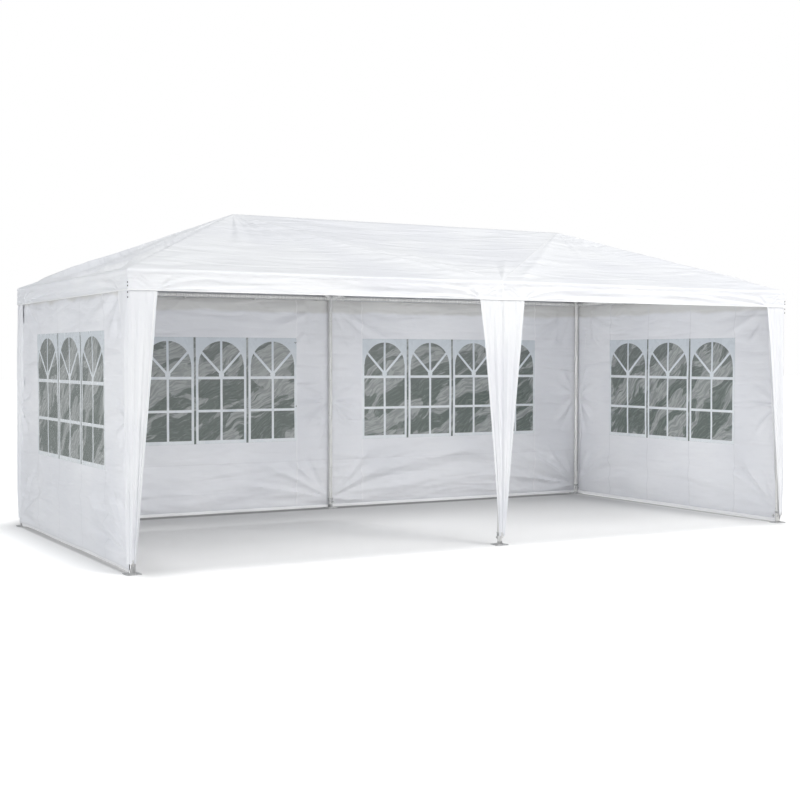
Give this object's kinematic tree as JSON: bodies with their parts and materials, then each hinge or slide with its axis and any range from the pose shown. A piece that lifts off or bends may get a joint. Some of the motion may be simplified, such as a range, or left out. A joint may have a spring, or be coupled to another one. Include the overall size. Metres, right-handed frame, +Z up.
{
  "type": "marquee tent",
  "caption": "Rectangular party tent with a hipped fabric roof on a steel tube frame, windowed walls at the back and both ends, and an open front.",
  "frame": {"origin": "on the ground, under the middle of the tent", "axes": "+X along the length of the tent, from the left end to the right end seen from the open front; +Y from the open front to the back wall; +Z up"},
  "size_m": [6.11, 3.11, 2.6589],
  "materials": {
    "leg_finish": "light grey coated steel tube, satin",
    "pole_finish": "light grey coated steel tube, satin",
    "fitting_finish": "galvanised steel fittings, dull",
    "cover_fabric": "white woven polyethylene, slight sheen",
    "wall_fabric": "white woven polyethylene, slightly translucent",
    "clear_sheet": "clear soft plastic sheet with printed white window frames"
  },
  "bodies": {
    "root": {"back_wall_left": "wall_fabric", "back_wall_right": "wall_fabric", "back_windows_left": "clear_sheet", "back_windows_right": "clear_sheet", "connector_back_left": "fitting_finish", "connector_back_middle": "fitting_finish", "connector_back_right": "fitting_finish", "connector_front_left": "fitting_finish", "connector_front_middle": "fitting_finish", "connector_front_right": "fitting_finish", "connector_peak_left": "fitting_finish", "connector_peak_right": "fitting_finish", "drape_back_left": "cover_fabric", "drape_back_middle": "cover_fabric", "drape_back_right": "cover_fabric", "drape_front_left": "cover_fabric", "drape_front_middle": "cover_fabric", "drape_front_right": "cover_fabric", "eave_rail_back_left": "pole_finish", "eave_rail_back_right": "pole_finish", "eave_rail_front_left": "pole_finish", "eave_rail_front_right": "pole_finish", "eave_rail_left_end": "pole_finish", "eave_rail_right_end": "pole_finish", "foot_back_left": "fitting_finish", "foot_back_middle": "fitting_finish", "foot_back_right": "fitting_finish", "foot_front_left": "fitting_finish", "foot_front_middle": "fitting_finish", "foot_front_right": "fitting_finish", "hip_rafter_back_left": "pole_finish", "hip_rafter_back_right": "pole_finish", "hip_rafter_front_left": "pole_finish", "hip_rafter_front_right": "pole_finish", "left_wall": "wall_fabric", "left_windows": "clear_sheet", "leg_back_left": "leg_finish", "leg_back_middle": "leg_finish", "leg_back_right": "leg_finish", "leg_front_left": "leg_finish", "leg_front_middle": "leg_finish", "leg_front_right": "leg_finish", "middle_rafter_back_left": "pole_finish", "middle_rafter_back_right": "pole_finish", "middle_rafter_front_left": "pole_finish", "middle_rafter_front_right": "pole_finish", "ridge_pole": "pole_finish", "right_wall": "wall_fabric", "right_windows": "clear_sheet", "roof_back": "cover_fabric", "roof_front": "cover_fabric", "roof_left": "cover_fabric", "roof_right": "cover_fabric"}
  },
  "joints": []
}
